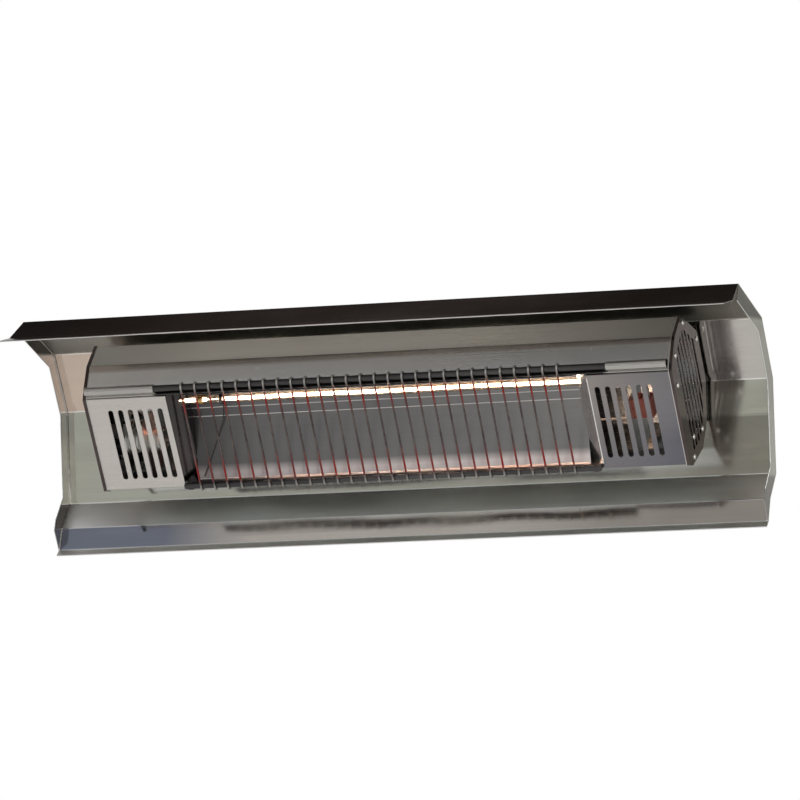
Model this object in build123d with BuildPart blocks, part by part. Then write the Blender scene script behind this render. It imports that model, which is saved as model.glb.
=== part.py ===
"""Heat lamp warmer: a folded stainless trough hood with a quartz strip heater fixed inside it.

Row frame, millimetres: X runs along the hood, +Y points into the wall, +Z is up.
The origin is the centre of the rear face of the hood's upright back panel.
"""

import os
from math import asin, atan2, cos, degrees, hypot, radians, sin

from build123d import *

os.makedirs("parts", exist_ok=True)

# ---- Hood: one folded sheet, described by its panels ----
HOOD_LENGTH = 1096.0
HOOD_SHEET = 1.2
HOOD_BEND = 3.0
LIP_FLARE = 4.5
BACK_PANEL = 137.0
PANELS_ABOVE = [(95.0, 117.5), (115.5, 158.0), (51.0, 210.0), (40.5, 188.0)]
PANELS_BELOW = [(49.0, 227.5), (35.5, 248.5), (11.5, 220.0)]
END_FLANGE = 25.0
WALL_HOLE_R = 3.5
WALL_HOLE_X = 500.0
WALL_HOLE_Z = 100.0

# ---- Heater housing: its front face leans over the counter ----
HEATER_HALF = 445.0
SHEET = 1.0
FACE_TILT = 28.5
FACE_HEIGHT = 148.0
FACE_FOOT_Y = -98.5
FACE_FOOT_Z = -53.0
SHEET_BEND = 2.5

# ---- Front face ----
VENT_INNER_X = 322.0
SLOT_COUNT = 6
SLOT_WIDTH = 8.0
SLOT_PITCH = 15.5
SLOT_OUTER_X = 412.5
SLOT_LENGTH = 113.0
SLOT_MIDDLE = 72.5
REVEAL_DEPTH = 18.0
REVEAL_BACK = 37.5
REVEAL_X = 301.5

# ---- Guard ----
ROD_R = 4.75
WIRE_R = 1.5
WIRE_COUNT = 28
WIRE_PITCH = 21.3
WIRE_FIRST_X = -293.0
BARREL_R = 6.35
BARREL_CLEARANCE = 0.07
BARREL_LEAF = 1.6
LEFT_BARREL_X = -337.0
RIGHT_BARREL_X = 355.0
ROD_IN_BARREL = 20.0
LOWER_ROD_HALF = 320.0

# ---- Lamp ----
LAMP_HEIGHT = 129.8
LAMP_DEPTH = 20.6
TUBE_R = 6.5
TUBE_WALL = 1.1
TUBE_HALF = 350.0
CERAMIC_LENGTH = 26.0

# ---- End caps ----
CAP_GAP = 1.2
CAP_PAN = 4.8
CAP_GROW = 1.6
CAP_SLOT_FIRST = 30.0
CAP_SLOT_PITCH = 13.5
CAP_SLOT_WIDTH = 7.5
CAP_SLOT_MARGIN = 15.0
CAP_SCREW_R = 1.8

tilt = radians(FACE_TILT)
lean_y = sin(tilt)
lean_z = cos(tilt)


def face_point(height, depth):
    """Row (y, z) of a point at a height up the front face and a depth behind it."""
    y = FACE_FOOT_Y - height * lean_y + depth * lean_z
    z = FACE_FOOT_Z + height * lean_z + depth * lean_y
    return (y, z)


def walk(start, panels):
    """Corners of a folded strip: each panel is a length and a direction in degrees."""
    points = [start]
    for length, heading in panels:
        y, z = points[-1]
        angle = radians(heading)
        points.append((y + length * cos(angle), z + length * sin(angle)))
    return points


def toward(start, end, distance):
    """The point at a distance from start on the way to end."""
    reach = hypot(end[0] - start[0], end[1] - start[1])
    part = distance / reach
    return (start[0] + (end[0] - start[0]) * part, start[1] + (end[1] - start[1]) * part)


def folded_sheet(points, thickness, side, low_x, high_x, bend=SHEET_BEND):
    """A sheet folded along X, with its drawn surface through the points (y, z)."""
    with BuildPart() as sheet:
        with BuildSketch(Plane.YZ.offset(low_x)):
            with BuildLine():
                FilletPolyline(*points, radius=bend)
                offset(amount=thickness, side=side)
            make_face()
        extrude(amount=high_x - low_x)
    return sheet.part


def save(part, name):
    """Label a finished piece and write its STEP file."""
    part.label = name
    export_step(part, f"parts/{name}.step")


# Planes on the front face: FACE looks at it, FACE_CUT cuts across it at its foot.
FACE = Plane(origin=(0, FACE_FOOT_Y, FACE_FOOT_Z), x_dir=(1, 0, 0), z_dir=(0, -lean_z, -lean_y))
FACE_CUT = Plane(origin=(0, FACE_FOOT_Y, FACE_FOOT_Z), x_dir=(1, 0, 0), z_dir=(0, -lean_y, lean_z))

# ---- Housing mould line, clockwise seen from +X: front foot, brow, top, back, underside ----
foot = face_point(0, 0)
head = face_point(FACE_HEIGHT, 0)
brow = (head[0] + 4.5, head[1] + 15.7)
brow_bend = (brow[0] + 14.2, brow[1] + 33.1)
crown = (brow_bend[0] + 31.0, brow_bend[1] + 30.3)
rear_top = (crown[0] + 71.5, crown[1] - 19.2)
rear_high = (-14.5, 72.5)
rear_low = (-14.5, 12.0)
under_rear = (-36.5, -27.0)
under_front = (-86.0, FACE_FOOT_Z)
mould_line = [foot, head, brow, brow_bend, crown, rear_top, rear_high, rear_low, under_rear, under_front]

# =====================================================================
# Hood
# =====================================================================
hood_top = walk((-HOOD_SHEET, BACK_PANEL / 2), PANELS_ABOVE)
hood_bottom = walk((-HOOD_SHEET, -BACK_PANEL / 2), PANELS_BELOW)
hood_points = hood_bottom[::-1] + hood_top

# Each heater bracket is riveted to the back panel through its two feet.
BRACKET_X = 180.0
BRACKET_FOOT_X = 27.0
BRACKET_LOW = 16.0
BRACKET_HIGH = 68.0
BRACKET_SHEET = 1.5
RIVET_R = 2.0
RIVET_FIT = 0.05
RIVET_ROWS = (26.0, 58.0)
rivet_places = [
    (side * BRACKET_X + foot_side * BRACKET_FOOT_X, z)
    for side in (-1, 1)
    for foot_side in (-1, 1)
    for z in RIVET_ROWS
]

with BuildPart() as hood_shell:
    with BuildSketch(Plane.YZ):
        with BuildLine():
            FilletPolyline(*hood_points, radius=HOOD_BEND)
            offset(amount=HOOD_SHEET, side=Side.RIGHT)
        make_face()
    extrude(amount=HOOD_LENGTH / 2, both=True)
    # The two lip panels widen toward each end of the free edge.
    with BuildSketch(Plane.YZ):
        with BuildLine():
            FilletPolyline(*hood_top[1:], radius=HOOD_BEND)
            offset(amount=HOOD_SHEET, side=Side.RIGHT)
        make_face()
    extrude(amount=HOOD_LENGTH / 2 + LIP_FLARE, both=True)
    with BuildSketch(Plane.XY):
        for end in (-1, 1):
            with BuildLine():
                Polyline(
                    (end * HOOD_LENGTH / 2, 0),
                    (end * HOOD_LENGTH / 2, hood_top[2][0] - HOOD_SHEET),
                    (end * (HOOD_LENGTH / 2 + LIP_FLARE), hood_top[3][0]),
                    (end * (HOOD_LENGTH / 2 + 2 * LIP_FLARE), hood_top[3][0]),
                    (end * (HOOD_LENGTH / 2 + 2 * LIP_FLARE), 0),
                    close=True,
                )
            make_face()
    extrude(amount=300, both=True, mode=Mode.SUBTRACT)
    # Wall screw holes and rivet holes through the upright back panel.
    with BuildSketch(Plane.XZ.offset(-5)):
        with GridLocations(WALL_HOLE_X, WALL_HOLE_Z, 2, 2):
            Circle(WALL_HOLE_R)
        with Locations(*rivet_places):
            Circle(RIVET_R + RIVET_FIT)
    extrude(amount=10, mode=Mode.SUBTRACT)
save(hood_shell.part, "hood_shell")

# End flanges: the sheet turned in at each end, mitred at the folds and cut back at the foot.
flange_points = hood_points[1:-2]
foot_angle = radians(PANELS_BELOW[1][1])
foot_across = (sin(foot_angle), -cos(foot_angle))
foot_inner = (
    flange_points[0][0] + 1.5 * END_FLANGE * foot_across[0],
    flange_points[0][1] + 1.5 * END_FLANGE * foot_across[1],
)
foot_above = (
    foot_inner[0] - 1.3 * END_FLANGE * cos(foot_angle),
    foot_inner[1] - 1.3 * END_FLANGE * sin(foot_angle),
)
for side, flange_x in (("left", -HOOD_LENGTH / 2), ("right", HOOD_LENGTH / 2 - HOOD_SHEET)):
    with BuildPart() as hood_end_flange:
        with BuildSketch(Plane.YZ.offset(flange_x)):
            with BuildLine():
                Polyline(*flange_points)
                offset(amount=END_FLANGE, side=Side.LEFT, kind=Kind.INTERSECTION)
            make_face()
        extrude(amount=HOOD_SHEET)
        add(hood_shell.part, mode=Mode.SUBTRACT)
        # The free corner at the foot is cut off on a slant.
        with BuildSketch(Plane.YZ.offset(flange_x)):
            with BuildLine():
                Polyline(flange_points[0], foot_inner, foot_above, close=True)
            make_face()
        extrude(amount=HOOD_SHEET, mode=Mode.SUBTRACT)
    save(hood_end_flange.part, f"hood_end_flange_{side}")

# Heater brackets: hat channels that stand the housing off the back panel.
CHANNEL_HALF = 18.0
FOOT_EDGE = 36.0
channel_front = rear_high[0] + BRACKET_SHEET
for side, centre in (("left", -BRACKET_X), ("right", BRACKET_X)):
    with BuildPart() as heater_bracket:
        with BuildSketch(Plane.XY.offset(BRACKET_LOW)):
            with BuildLine():
                FilletPolyline(
                    (centre - FOOT_EDGE, -HOOD_SHEET),
                    (centre - CHANNEL_HALF, -HOOD_SHEET),
                    (centre - CHANNEL_HALF, channel_front),
                    (centre + CHANNEL_HALF, channel_front),
                    (centre + CHANNEL_HALF, -HOOD_SHEET),
                    (centre + FOOT_EDGE, -HOOD_SHEET),
                    radius=BRACKET_SHEET + 0.5,
                )
                offset(amount=BRACKET_SHEET, side=Side.RIGHT)
            make_face()
        extrude(amount=BRACKET_HIGH - BRACKET_LOW)
        with BuildSketch(Plane.XZ.offset(-5)):
            with Locations(*rivet_places):
                Circle(RIVET_R + RIVET_FIT)
        extrude(amount=12, mode=Mode.SUBTRACT)
        with BuildSketch(Plane.XZ.offset(10)):
            with Locations(*[(centre, z) for z in RIVET_ROWS]):
                Circle(2.6)
        extrude(amount=8, mode=Mode.SUBTRACT)
    save(heater_bracket.part, f"heater_bracket_{side}")

# Rivets: shank flush with the wall face, domed head on the bracket foot.
RIVET_HEAD_R = 4.0
RIVET_HEAD_H = 1.3
dome_r = (RIVET_HEAD_R**2 + RIVET_HEAD_H**2) / (2 * RIVET_HEAD_H)
dome_half = (dome_r**2 - RIVET_HEAD_R**2 / 4) ** 0.5
with BuildPart() as one_rivet:
    with BuildSketch(Plane.XY):
        with BuildLine():
            head_seat = HOOD_SHEET + BRACKET_SHEET
            Polyline((0, 0), (RIVET_R, 0), (RIVET_R, head_seat), (RIVET_HEAD_R, head_seat))
            ThreePointArc(
                (RIVET_HEAD_R, head_seat),
                (RIVET_HEAD_R / 2, head_seat + RIVET_HEAD_H - dome_r + dome_half),
                (0, head_seat + RIVET_HEAD_H),
            )
            Line((0, head_seat + RIVET_HEAD_H), (0, 0))
        make_face()
    revolve(axis=Axis.Y)
with BuildPart() as bracket_rivets:
    for x, z in rivet_places:
        with Locations(Location((x, 0, z), (180, 0, 0))):
            add(one_rivet.part)
save(bracket_rivets.part, "bracket_rivets")

# =====================================================================
# Heater housing
# =====================================================================
LAP = 12.0
top_lap = toward(rear_top, rear_high, LAP)
heater_top_cover = folded_sheet(
    [brow, brow_bend, crown, rear_top, top_lap], SHEET, Side.LEFT, -HEATER_HALF, HEATER_HALF
)
save(heater_top_cover, "heater_top_cover")

# The back cover tucks under the top cover's lap and stops behind the face panels' hems.
back_start = toward(rear_top, rear_high, 4.0)
back_end = (foot[0] + 3.0, foot[1] + SHEET)
fixing_places = [(side * BRACKET_X, z) for side in (-1, 1) for z in RIVET_ROWS]
SCREW_R = 2.4
with BuildPart() as heater_back_cover:
    add(
        folded_sheet(
            [back_start, rear_high, rear_low, under_rear, (under_front[0], back_end[1]), back_end],
            SHEET,
            Side.RIGHT,
            -HEATER_HALF,
            HEATER_HALF,
        )
    )
    with BuildSketch(Plane.XZ.offset(10)):
        with Locations(*fixing_places):
            Circle(SCREW_R + 0.2)
    extrude(amount=12, mode=Mode.SUBTRACT)
save(heater_back_cover.part, "heater_back_cover")

# Screws from inside the housing into the brackets.
inner_back = rear_high[0] - SHEET
with BuildPart() as heater_fixing_screws:
    for x, z in fixing_places:
        with BuildSketch(Plane(origin=(x, inner_back, z), x_dir=(1, 0, 0), z_dir=(0, -1, 0))):
            RegularPolygon(4.6, 6)
        extrude(amount=3.2)
        with BuildSketch(Plane(origin=(x, inner_back, z), x_dir=(1, 0, 0), z_dir=(0, 1, 0))):
            Circle(SCREW_R)
        extrude(amount=SHEET + BRACKET_SHEET + 5)
save(heater_fixing_screws.part, "heater_fixing_screws")

# Top rail: closes the brow above the opening and turns in over the lamp.
RAIL_DEPTH = 34.0
heater_top_rail = folded_sheet(
    [toward(brow, brow_bend, 9.0), brow, head, face_point(FACE_HEIGHT, RAIL_DEPTH)],
    SHEET,
    Side.LEFT,
    -HEATER_HALF,
    HEATER_HALF,
    bend=1.5,
)
save(heater_top_rail, "heater_top_rail")

# Bottom rail: the sill under the opening, resting on the back cover's front edge.
SILL_HEIGHT = 6.0
SILL_DEPTH = 18.0
sill_inner = foot[1] + 2 * SHEET
with BuildPart() as heater_bottom_rail:
    with BuildSketch(Plane.YZ.offset(-VENT_INNER_X)):
        with BuildLine():
            Polyline(
                face_point(SILL_HEIGHT, 0),
                foot,
                (foot[0] + 2.5, foot[1]),
                (foot[0] + 2.5, sill_inner),
                (foot[0] + SILL_DEPTH, sill_inner),
                (foot[0] + SILL_DEPTH, sill_inner + SHEET),
                (foot[0] + 2.5 * lean_z, sill_inner + SHEET),
                face_point(SILL_HEIGHT, SHEET),
                close=True,
            )
        make_face()
    extrude(amount=2 * VENT_INNER_X)
    add(heater_back_cover.part, mode=Mode.SUBTRACT)
save(heater_bottom_rail.part, "heater_bottom_rail")

# Vent panels: slotted plates either side of the opening, with a hem under and a flange on top.
HEM = 10.0
PANEL_FLANGE = 12.0
hem_path = [
    (foot[0] + HEM, foot[1]),
    foot,
    head,
    face_point(FACE_HEIGHT, PANEL_FLANGE),
]
for side, low_x, high_x, mirror_x in (
    ("left", -HEATER_HALF, -VENT_INNER_X, -1),
    ("right", VENT_INNER_X, HEATER_HALF, 1),
):
    with BuildPart() as vent_panel:
        add(folded_sheet(hem_path, SHEET, Side.RIGHT, low_x, high_x, bend=1.5))
        with BuildSketch(FACE.offset(2)):
            for i in range(SLOT_COUNT):
                with Locations((mirror_x * (SLOT_OUTER_X - SLOT_PITCH * i), SLOT_MIDDLE)):
                    SlotOverall(SLOT_LENGTH, SLOT_WIDTH, rotation=90)
        extrude(amount=-6, mode=Mode.SUBTRACT)
    save(vent_panel.part, f"vent_panel_{side}")

# Reveals: the bevelled side walls of the lamp opening, with a hole for the lamp to pass.
lamp_y, lamp_z = face_point(LAMP_HEIGHT, LAMP_DEPTH)
for side, sign in (("left", -1), ("right", 1)):
    with BuildPart() as opening_reveal:
        with BuildSketch(FACE_CUT.offset(SILL_HEIGHT + 1)):
            with BuildLine():
                FilletPolyline(
                    (sign * (VENT_INNER_X + 8), SHEET),
                    (sign * VENT_INNER_X, SHEET),
                    (sign * REVEAL_X, REVEAL_DEPTH),
                    (sign * REVEAL_X, REVEAL_BACK),
                    radius=1.5,
                )
                offset(amount=SHEET, side=Side.RIGHT if sign > 0 else Side.LEFT)
            make_face()
        extrude(amount=FACE_HEIGHT - SILL_HEIGHT - 2.5)
        with BuildSketch(Plane.YZ.offset(sign * REVEAL_X - 15)):
            with Locations((lamp_y, lamp_z)):
                Circle(TUBE_R + 2)
        extrude(amount=40, mode=Mode.SUBTRACT)
    save(opening_reveal.part, f"opening_reveal_{side}")

# Reflector: polished trough behind the lamp, folded into four facets.
REFLECTOR_SHEET = 0.6
reflector = folded_sheet(
    [
        face_point(146.8, 2.0),
        face_point(146.8, 30.0),
        face_point(109.6, 36.0),
        face_point(94.3, 38.0),
        face_point(8.0, 6.0),
        face_point(6.8, 1.6),
    ],
    REFLECTOR_SHEET,
    Side.LEFT,
    -REVEAL_X,
    REVEAL_X,
    bend=1.5,
)
save(reflector, "reflector")

# =====================================================================
# End frames and caps
# =====================================================================
cap_screw_places = [
    (crown[0] + 5.5, crown[1] - 8.0),
    (brow[0] + 11.5, brow[1] + 7.0),
    face_point(120.0, 11.0),
    face_point(25.5, 36.0),
    (-37.5, -1.0),
    (-79.0, -42.0),
    (rear_top[0] - 3.0, rear_top[1] - 9.5),
]
FRAME_WIDTH = 17.0
frame_lug = face_point(20.0, 27.0)

# The switch and the cable inlet sit on the left cap, behind the short row of slots.
switch_y, switch_z = face_point(74.0, 92.0)
gland_y, gland_z = face_point(33.0, 80.0)
SWITCH_OPENING = 22.0
SWITCH_WIDTH = 14.0
GLAND_HOLE_R = 8.1
RIGHT_SLOTS = 8
LEFT_SLOTS = 3


def cap_outline(grow):
    """The housing's end outline, grown outward."""
    with BuildSketch() as outline:
        with BuildLine():
            Polyline(*mould_line, close=True)
        make_face()
        offset(amount=grow, kind=Kind.INTERSECTION)
    return outline.sketch_local


def cap_slots(count):
    """Vent slots parallel to the front face, trimmed to stay inside the cap's margin."""
    with BuildSketch() as slots:
        for i in range(count):
            with Locations(face_point(FACE_HEIGHT / 2, CAP_SLOT_FIRST + CAP_SLOT_PITCH * i)):
                Rectangle(CAP_SLOT_WIDTH, 260, rotation=FACE_TILT)
        add(cap_outline(-CAP_SLOT_MARGIN), mode=Mode.INTERSECT)
    return slots.sketch_local


frame_outer = cap_outline(0.8)
frame_inner = cap_outline(-FRAME_WIDTH)
pan_outer = cap_outline(CAP_GROW)
pan_inner = cap_outline(CAP_GROW - 1.2)
slot_patterns = {-1: cap_slots(LEFT_SLOTS), 1: cap_slots(RIGHT_SLOTS)}

for side, sign in (("left", -1), ("right", 1)):
    frame_x = sign * HEATER_HALF
    pan_x = sign * (HEATER_HALF + CAP_GAP)

    with BuildPart() as end_frame:
        with BuildSketch(Plane.YZ.offset(frame_x)):
            add(frame_outer)
            add(frame_inner, mode=Mode.SUBTRACT)
            with Locations(frame_lug):
                Circle(16)
            with Locations(*cap_screw_places):
                Circle(CAP_SCREW_R + 0.05, mode=Mode.SUBTRACT)
        extrude(amount=sign * CAP_GAP)
    save(end_frame.part, f"end_frame_{side}")

    with BuildPart() as end_cap:
        with BuildSketch(Plane.YZ.offset(pan_x)):
            add(pan_outer)
        extrude(amount=sign * CAP_PAN)
        with BuildSketch(Plane.YZ.offset(pan_x)):
            add(pan_inner)
        extrude(amount=sign * (CAP_PAN - SHEET), mode=Mode.SUBTRACT)
        with BuildSketch(Plane.YZ.offset(pan_x)):
            with Locations(*cap_screw_places):
                Circle(CAP_SCREW_R + 0.2)
            add(slot_patterns[sign])
            if sign < 0:
                with Locations((switch_y, switch_z)):
                    Rectangle(SWITCH_WIDTH, SWITCH_OPENING)
                with Locations((gland_y, gland_z)):
                    Circle(GLAND_HOLE_R)
        extrude(amount=sign * (CAP_PAN + 1), mode=Mode.SUBTRACT)
    save(end_cap.part, f"end_cap_{side}")

    # Pan-head screws through the cap into the end frame.
    cap_face = CAP_GAP + CAP_PAN + HEATER_HALF
    with BuildPart() as one_cap_screw:
        with BuildSketch(Plane.XZ):
            with BuildLine():
                shank_end = HEATER_HALF - 2.0
                Polyline(
                    (shank_end, 0),
                    (shank_end, CAP_SCREW_R),
                    (cap_face, CAP_SCREW_R),
                    (cap_face, 3.9),
                    (cap_face + 0.8, 3.9),
                )
                ThreePointArc((cap_face + 0.8, 3.9), (cap_face + 2.1, 2.4), (cap_face + 2.5, 0))
                Line((cap_face + 2.5, 0), (shank_end, 0))
            make_face()
        revolve(axis=Axis.X)
        with BuildSketch(Plane.YZ.offset(cap_face + 1.3)):
            Rectangle(4.6, 0.9)
            Rectangle(0.9, 4.6)
        extrude(amount=2, mode=Mode.SUBTRACT)
    with BuildPart() as end_cap_screws:
        for y, z in cap_screw_places:
            turn = 0 if sign > 0 else 180
            with Locations(Location((0, y, z), (0, 0, turn))):
                add(one_cap_screw.part)
    save(end_cap_screws.part, f"end_cap_screws_{side}")

# =====================================================================
# Guard: two rods and a row of hooked wires, hinged on the top rod
# =====================================================================
band_y = (brow[0] - head[0]) / hypot(brow[0] - head[0], brow[1] - head[1])
band_z = (brow[1] - head[1]) / hypot(brow[0] - head[0], brow[1] - head[1])
seat = toward(head, brow, 9.8)
stand_off = BARREL_LEAF + BARREL_R
hinge_y = seat[0] - band_z * stand_off
hinge_z = seat[1] + band_y * stand_off
rod_y, rod_z = face_point(4.0, -ROD_R - 1.4)

for side, low_x, high_x in (
    ("left", -HEATER_HALF, LEFT_BARREL_X),
    ("right", RIGHT_BARREL_X, HEATER_HALF),
):
    with BuildPart() as hinge_barrel:
        with BuildSketch(Plane.YZ.offset(low_x)):
            with Locations((hinge_y, hinge_z)):
                Circle(BARREL_R)
            leaf_mid = (seat[0] - band_z * BARREL_LEAF / 2, seat[1] + band_y * BARREL_LEAF / 2)
            with Locations(leaf_mid):
                Rectangle(BARREL_LEAF, 11.5, rotation=-degrees(asin(band_y)))
            with Locations((hinge_y + band_z * 3.2, hinge_z - band_y * 3.2)):
                Rectangle(6.3, 6.0, rotation=-degrees(asin(band_y)))
            with Locations((hinge_y, hinge_z)):
                Circle(ROD_R + BARREL_CLEARANCE, mode=Mode.SUBTRACT)
        extrude(amount=high_x - low_x)
    save(hinge_barrel.part, f"hinge_barrel_{side}")

with BuildPart() as guard_top_rod:
    with BuildSketch(Plane.YZ.offset(LEFT_BARREL_X - ROD_IN_BARREL)):
        with Locations((hinge_y, hinge_z)):
            Circle(ROD_R)
    extrude(amount=RIGHT_BARREL_X - LEFT_BARREL_X + 2 * ROD_IN_BARREL)
    chamfer(guard_top_rod.edges().filter_by(GeomType.CIRCLE), length=0.6)
save(guard_top_rod.part, "guard_top_rod")

with BuildPart() as guard_bottom_rod:
    with BuildSketch(Plane.YZ.offset(-LOWER_ROD_HALF)):
        with Locations((rod_y, rod_z)):
            Circle(ROD_R)
    extrude(amount=2 * LOWER_ROD_HALF)
    chamfer(guard_bottom_rod.edges().filter_by(GeomType.CIRCLE), length=0.6)
save(guard_bottom_rod.part, "guard_bottom_rod")

# One wire: hooked over the top rod, straight down its front, and curled under the bottom rod.
TOP_WRAP = 215.0
BOTTOM_WRAP = 118.0
wrap_r = ROD_R + WIRE_R
front_angle = degrees(atan2(rod_z - hinge_z, rod_y - hinge_y)) - 90
with BuildPart() as one_wire:
    with BuildLine(Plane.YZ) as wire_path:
        hook = CenterArc((hinge_y, hinge_z), wrap_r, front_angle - TOP_WRAP, TOP_WRAP)
        curl_start = front_angle
        curl = CenterArc((rod_y, rod_z), wrap_r, curl_start, BOTTOM_WRAP)
        Line(hook @ 1, curl @ 0)
    with BuildSketch(Plane(origin=hook @ 0, z_dir=hook % 0)):
        Circle(WIRE_R)
    sweep(path=wire_path.line)
with BuildPart() as guard_wires:
    for i in range(WIRE_COUNT):
        with Locations((WIRE_FIRST_X + WIRE_PITCH * i, 0, 0)):
            add(one_wire.part)
save(guard_wires.part, "guard_wires")

# Spring clips that hold the bottom rod against the sill.
CLIP_SHEET = 1.0
CLIP_OPEN = 82.0
CLIP_WIDTH = 9.0
CLIP_X = 307.0
clip_r = ROD_R + 0.3
open_angle = front_angle
for side, low_x in (("left", -CLIP_X - CLIP_WIDTH), ("right", CLIP_X)):
    with BuildPart() as guard_clip:
        with BuildSketch(Plane.YZ.offset(low_x)):
            with BuildLine():
                CenterArc((rod_y, rod_z), clip_r, open_angle + CLIP_OPEN, 360 - 2 * CLIP_OPEN)
                offset(amount=CLIP_SHEET, side=Side.RIGHT)
            make_face()
        extrude(amount=CLIP_WIDTH)
        with BuildSketch(FACE):
            with Locations((low_x + CLIP_WIDTH / 2, SILL_HEIGHT / 2 + 0.5)):
                Rectangle(CLIP_WIDTH, SILL_HEIGHT - 1)
        extrude(amount=0.8)
        with BuildSketch(Plane.YZ.offset(low_x)):
            with Locations((rod_y, rod_z)):
                Circle(clip_r)
        extrude(amount=CLIP_WIDTH, mode=Mode.SUBTRACT)
    save(guard_clip.part, f"guard_clip_{side}")

# =====================================================================
# Lamp
# =====================================================================
with BuildPart() as quartz_tube:
    with BuildSketch(Plane.YZ.offset(-TUBE_HALF)):
        with Locations((lamp_y, lamp_z)):
            Circle(TUBE_R)
            Circle(TUBE_R - TUBE_WALL, mode=Mode.SUBTRACT)
    extrude(amount=2 * TUBE_HALF)
save(quartz_tube.part, "quartz_tube")

FILAMENT_R = 2.2
with BuildPart() as filament:
    with BuildSketch(Plane.YZ.offset(-TUBE_HALF)):
        with Locations((lamp_y, lamp_z)):
            Circle(FILAMENT_R)
    extrude(amount=2 * TUBE_HALF)
save(filament.part, "filament")

CERAMIC_HALF = 9.0
for side, low_x in (("left", -TUBE_HALF - CERAMIC_LENGTH), ("right", TUBE_HALF)):
    with BuildPart() as lamp_ceramic:
        with BuildSketch(FACE_CUT.offset(LAMP_HEIGHT - CERAMIC_HALF)):
            with Locations((low_x + CERAMIC_LENGTH / 2, LAMP_DEPTH)):
                RectangleRounded(CERAMIC_LENGTH, 2 * CERAMIC_HALF, 2)
        extrude(amount=2 * CERAMIC_HALF)
    save(lamp_ceramic.part, f"lamp_ceramic_{side}")

# Lamp holders: angle brackets hung from the top rail, with a foot under the ceramic.
HOLDER_SHEET = 1.2
holder_back = LAMP_DEPTH + CERAMIC_HALF
holder_foot = LAMP_HEIGHT - CERAMIC_HALF - HOLDER_SHEET
for side, low_x in (("left", -TUBE_HALF - CERAMIC_LENGTH + 2), ("right", TUBE_HALF + 2)):
    with BuildPart() as lamp_holder:
        with BuildSketch(Plane.YZ.offset(low_x)):
            with BuildLine():
                Polyline(
                    face_point(FACE_HEIGHT, holder_back),
                    face_point(FACE_HEIGHT, holder_back + HOLDER_SHEET),
                    face_point(holder_foot, holder_back + HOLDER_SHEET),
                    face_point(holder_foot, LAMP_DEPTH - CERAMIC_HALF + 1),
                    face_point(holder_foot + HOLDER_SHEET, LAMP_DEPTH - CERAMIC_HALF + 1),
                    face_point(holder_foot + HOLDER_SHEET, holder_back),
                    close=True,
                )
            make_face()
        extrude(amount=CERAMIC_LENGTH - 4)
    save(lamp_holder.part, f"lamp_holder_{side}")

# Lamp support: a ring round the tube with a wire leg down the reflector.
SUPPORT_X = -246.0
LEG_R = 0.8
with BuildPart() as lamp_support:
    with BuildSketch(Plane.YZ.offset(SUPPORT_X)):
        with Locations((lamp_y, lamp_z)):
            Circle(TUBE_R + 1.3)
            Circle(TUBE_R + 0.1, mode=Mode.SUBTRACT)
    extrude(amount=5)
    leg_top = face_point(LAMP_HEIGHT - TUBE_R - 0.6, LAMP_DEPTH + 1)
    leg_knee = face_point(92.0, 34.0)
    leg_end = face_point(12.0, 5.9)
    with BuildLine():
        leg = FilletPolyline(
            (SUPPORT_X + 2.5, *leg_top),
            (SUPPORT_X - 8, *leg_knee),
            (SUPPORT_X - 46, *leg_end),
            radius=6,
        )
    with BuildSketch(Plane(origin=leg @ 0, z_dir=leg % 0)):
        Circle(LEG_R)
    sweep(path=leg)
save(lamp_support.part, "lamp_support")

# =====================================================================
# Electrical parts in the two end bays
# =====================================================================
# Bay plates: upright sheets that carry the terminal block and the conduit.
PLATE_X = 372.0
CONDUIT_R = 18.0
CONDUIT_PLACE = (64.0, 30.0)
LEAD_PLACE = (57.5, 40.5)
plate_corners = [(12.0, 8.0), (100.0, 8.0), (100.0, 74.0), (12.0, 74.0)]
for side, low_x, bay_hole in (
    ("left", -PLATE_X - 1.2, CONDUIT_PLACE),
    ("right", PLATE_X, LEAD_PLACE),
):
    with BuildPart() as bay_plate:
        with BuildSketch(Plane.YZ.offset(low_x)):
            with BuildLine():
                Polyline(*[face_point(h, d) for h, d in plate_corners], close=True)
            make_face()
            with Locations(face_point(*bay_hole)):
                Circle(CONDUIT_R + 1 if side == "left" else 5.0, mode=Mode.SUBTRACT)
        extrude(amount=1.2)
    save(bay_plate.part, f"bay_plate_{side}")

# Corrugated conduit for the internal leads, gripped by the left bay plate.
CONDUIT_LOW_X = -408.0
RIDGE_COUNT = 9
RIDGE_PITCH = 6.5
conduit_y, conduit_z = face_point(*CONDUIT_PLACE)
ridge_points = []
for i in range(RIDGE_COUNT):
    start = CONDUIT_LOW_X + RIDGE_PITCH * i
    ridge_points += [
        (start, CONDUIT_R - 2.2),
        (start + 1.2, CONDUIT_R),
        (start + 3.6, CONDUIT_R),
        (start + 4.8, CONDUIT_R - 2.2),
    ]
conduit_end_x = CONDUIT_LOW_X + RIDGE_PITCH * RIDGE_COUNT - 1.7
with BuildPart() as lead_conduit:
    with BuildSketch(Plane.XZ):
        with BuildLine():
            Polyline(
                *ridge_points,
                (conduit_end_x, CONDUIT_R - 3.4),
                (CONDUIT_LOW_X, CONDUIT_R - 3.4),
                close=True,
            )
        make_face()
    revolve(axis=Axis.X)
lead_conduit_part = lead_conduit.part.moved(Location((0, conduit_y, conduit_z)))
save(lead_conduit_part, "lead_conduit")

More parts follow.
